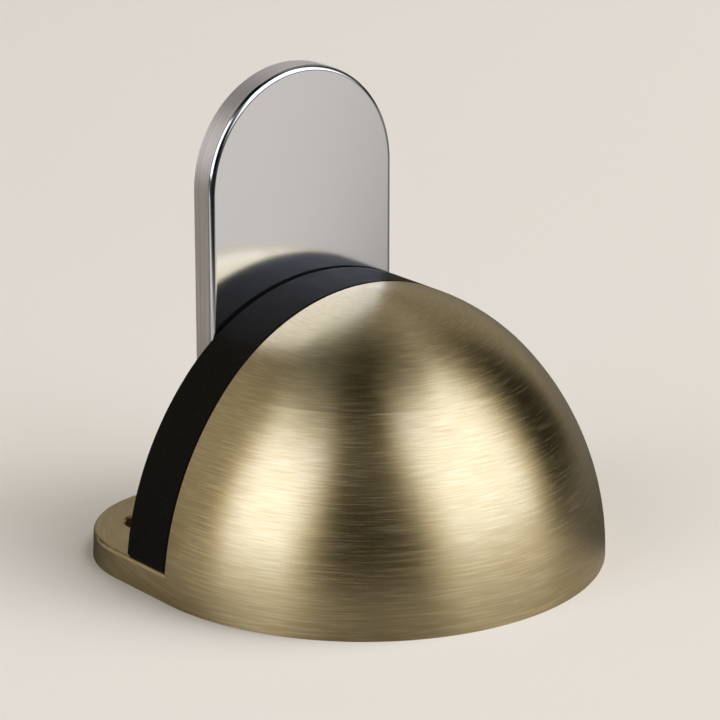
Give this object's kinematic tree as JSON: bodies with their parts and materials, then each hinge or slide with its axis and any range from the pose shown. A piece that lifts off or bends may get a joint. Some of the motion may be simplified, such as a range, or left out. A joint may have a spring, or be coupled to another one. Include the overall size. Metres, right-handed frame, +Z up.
{
  "type": "magnetic door stop",
  "caption": "Half-dome floor door stop in brushed antique brass with a flush rubber buffer, a hidden pot magnet and a mirror-polished keeper plate for the door.",
  "frame": {"origin": "on the floor, at the centre of the dome's base circle", "axes": "+Z up, -Y towards the door, with the ledge, buffer and keeper on that side, and +X across"},
  "size_m": [0.05, 0.0474, 0.0499],
  "materials": {
    "antique_brass": "brushed satin antique brass",
    "black_rubber": "matt, fine moulded grain",
    "plated_steel": "bright zinc plated",
    "magnet_plating": "nickel plated",
    "polished_steel": "mirror polished face, brushed edge",
    "foam_pad": "soft acrylic foam"
  },
  "bodies": {
    "stop": {"dome_body": "antique_brass", "rubber_buffer": "black_rubber", "magnet_cup": "plated_steel", "ring_magnet": "magnet_plating", "magnet_screw": "plated_steel"},
    "keeper": {"keeper_plate": "polished_steel", "keeper_pad": "foam_pad"}
  },
  "joints": [
    {"name": "keeper_release", "type": "slide", "parent": "stop", "child": "keeper", "axis": [0, -1, 0], "range_m": [0, 0.05]}
  ]
}
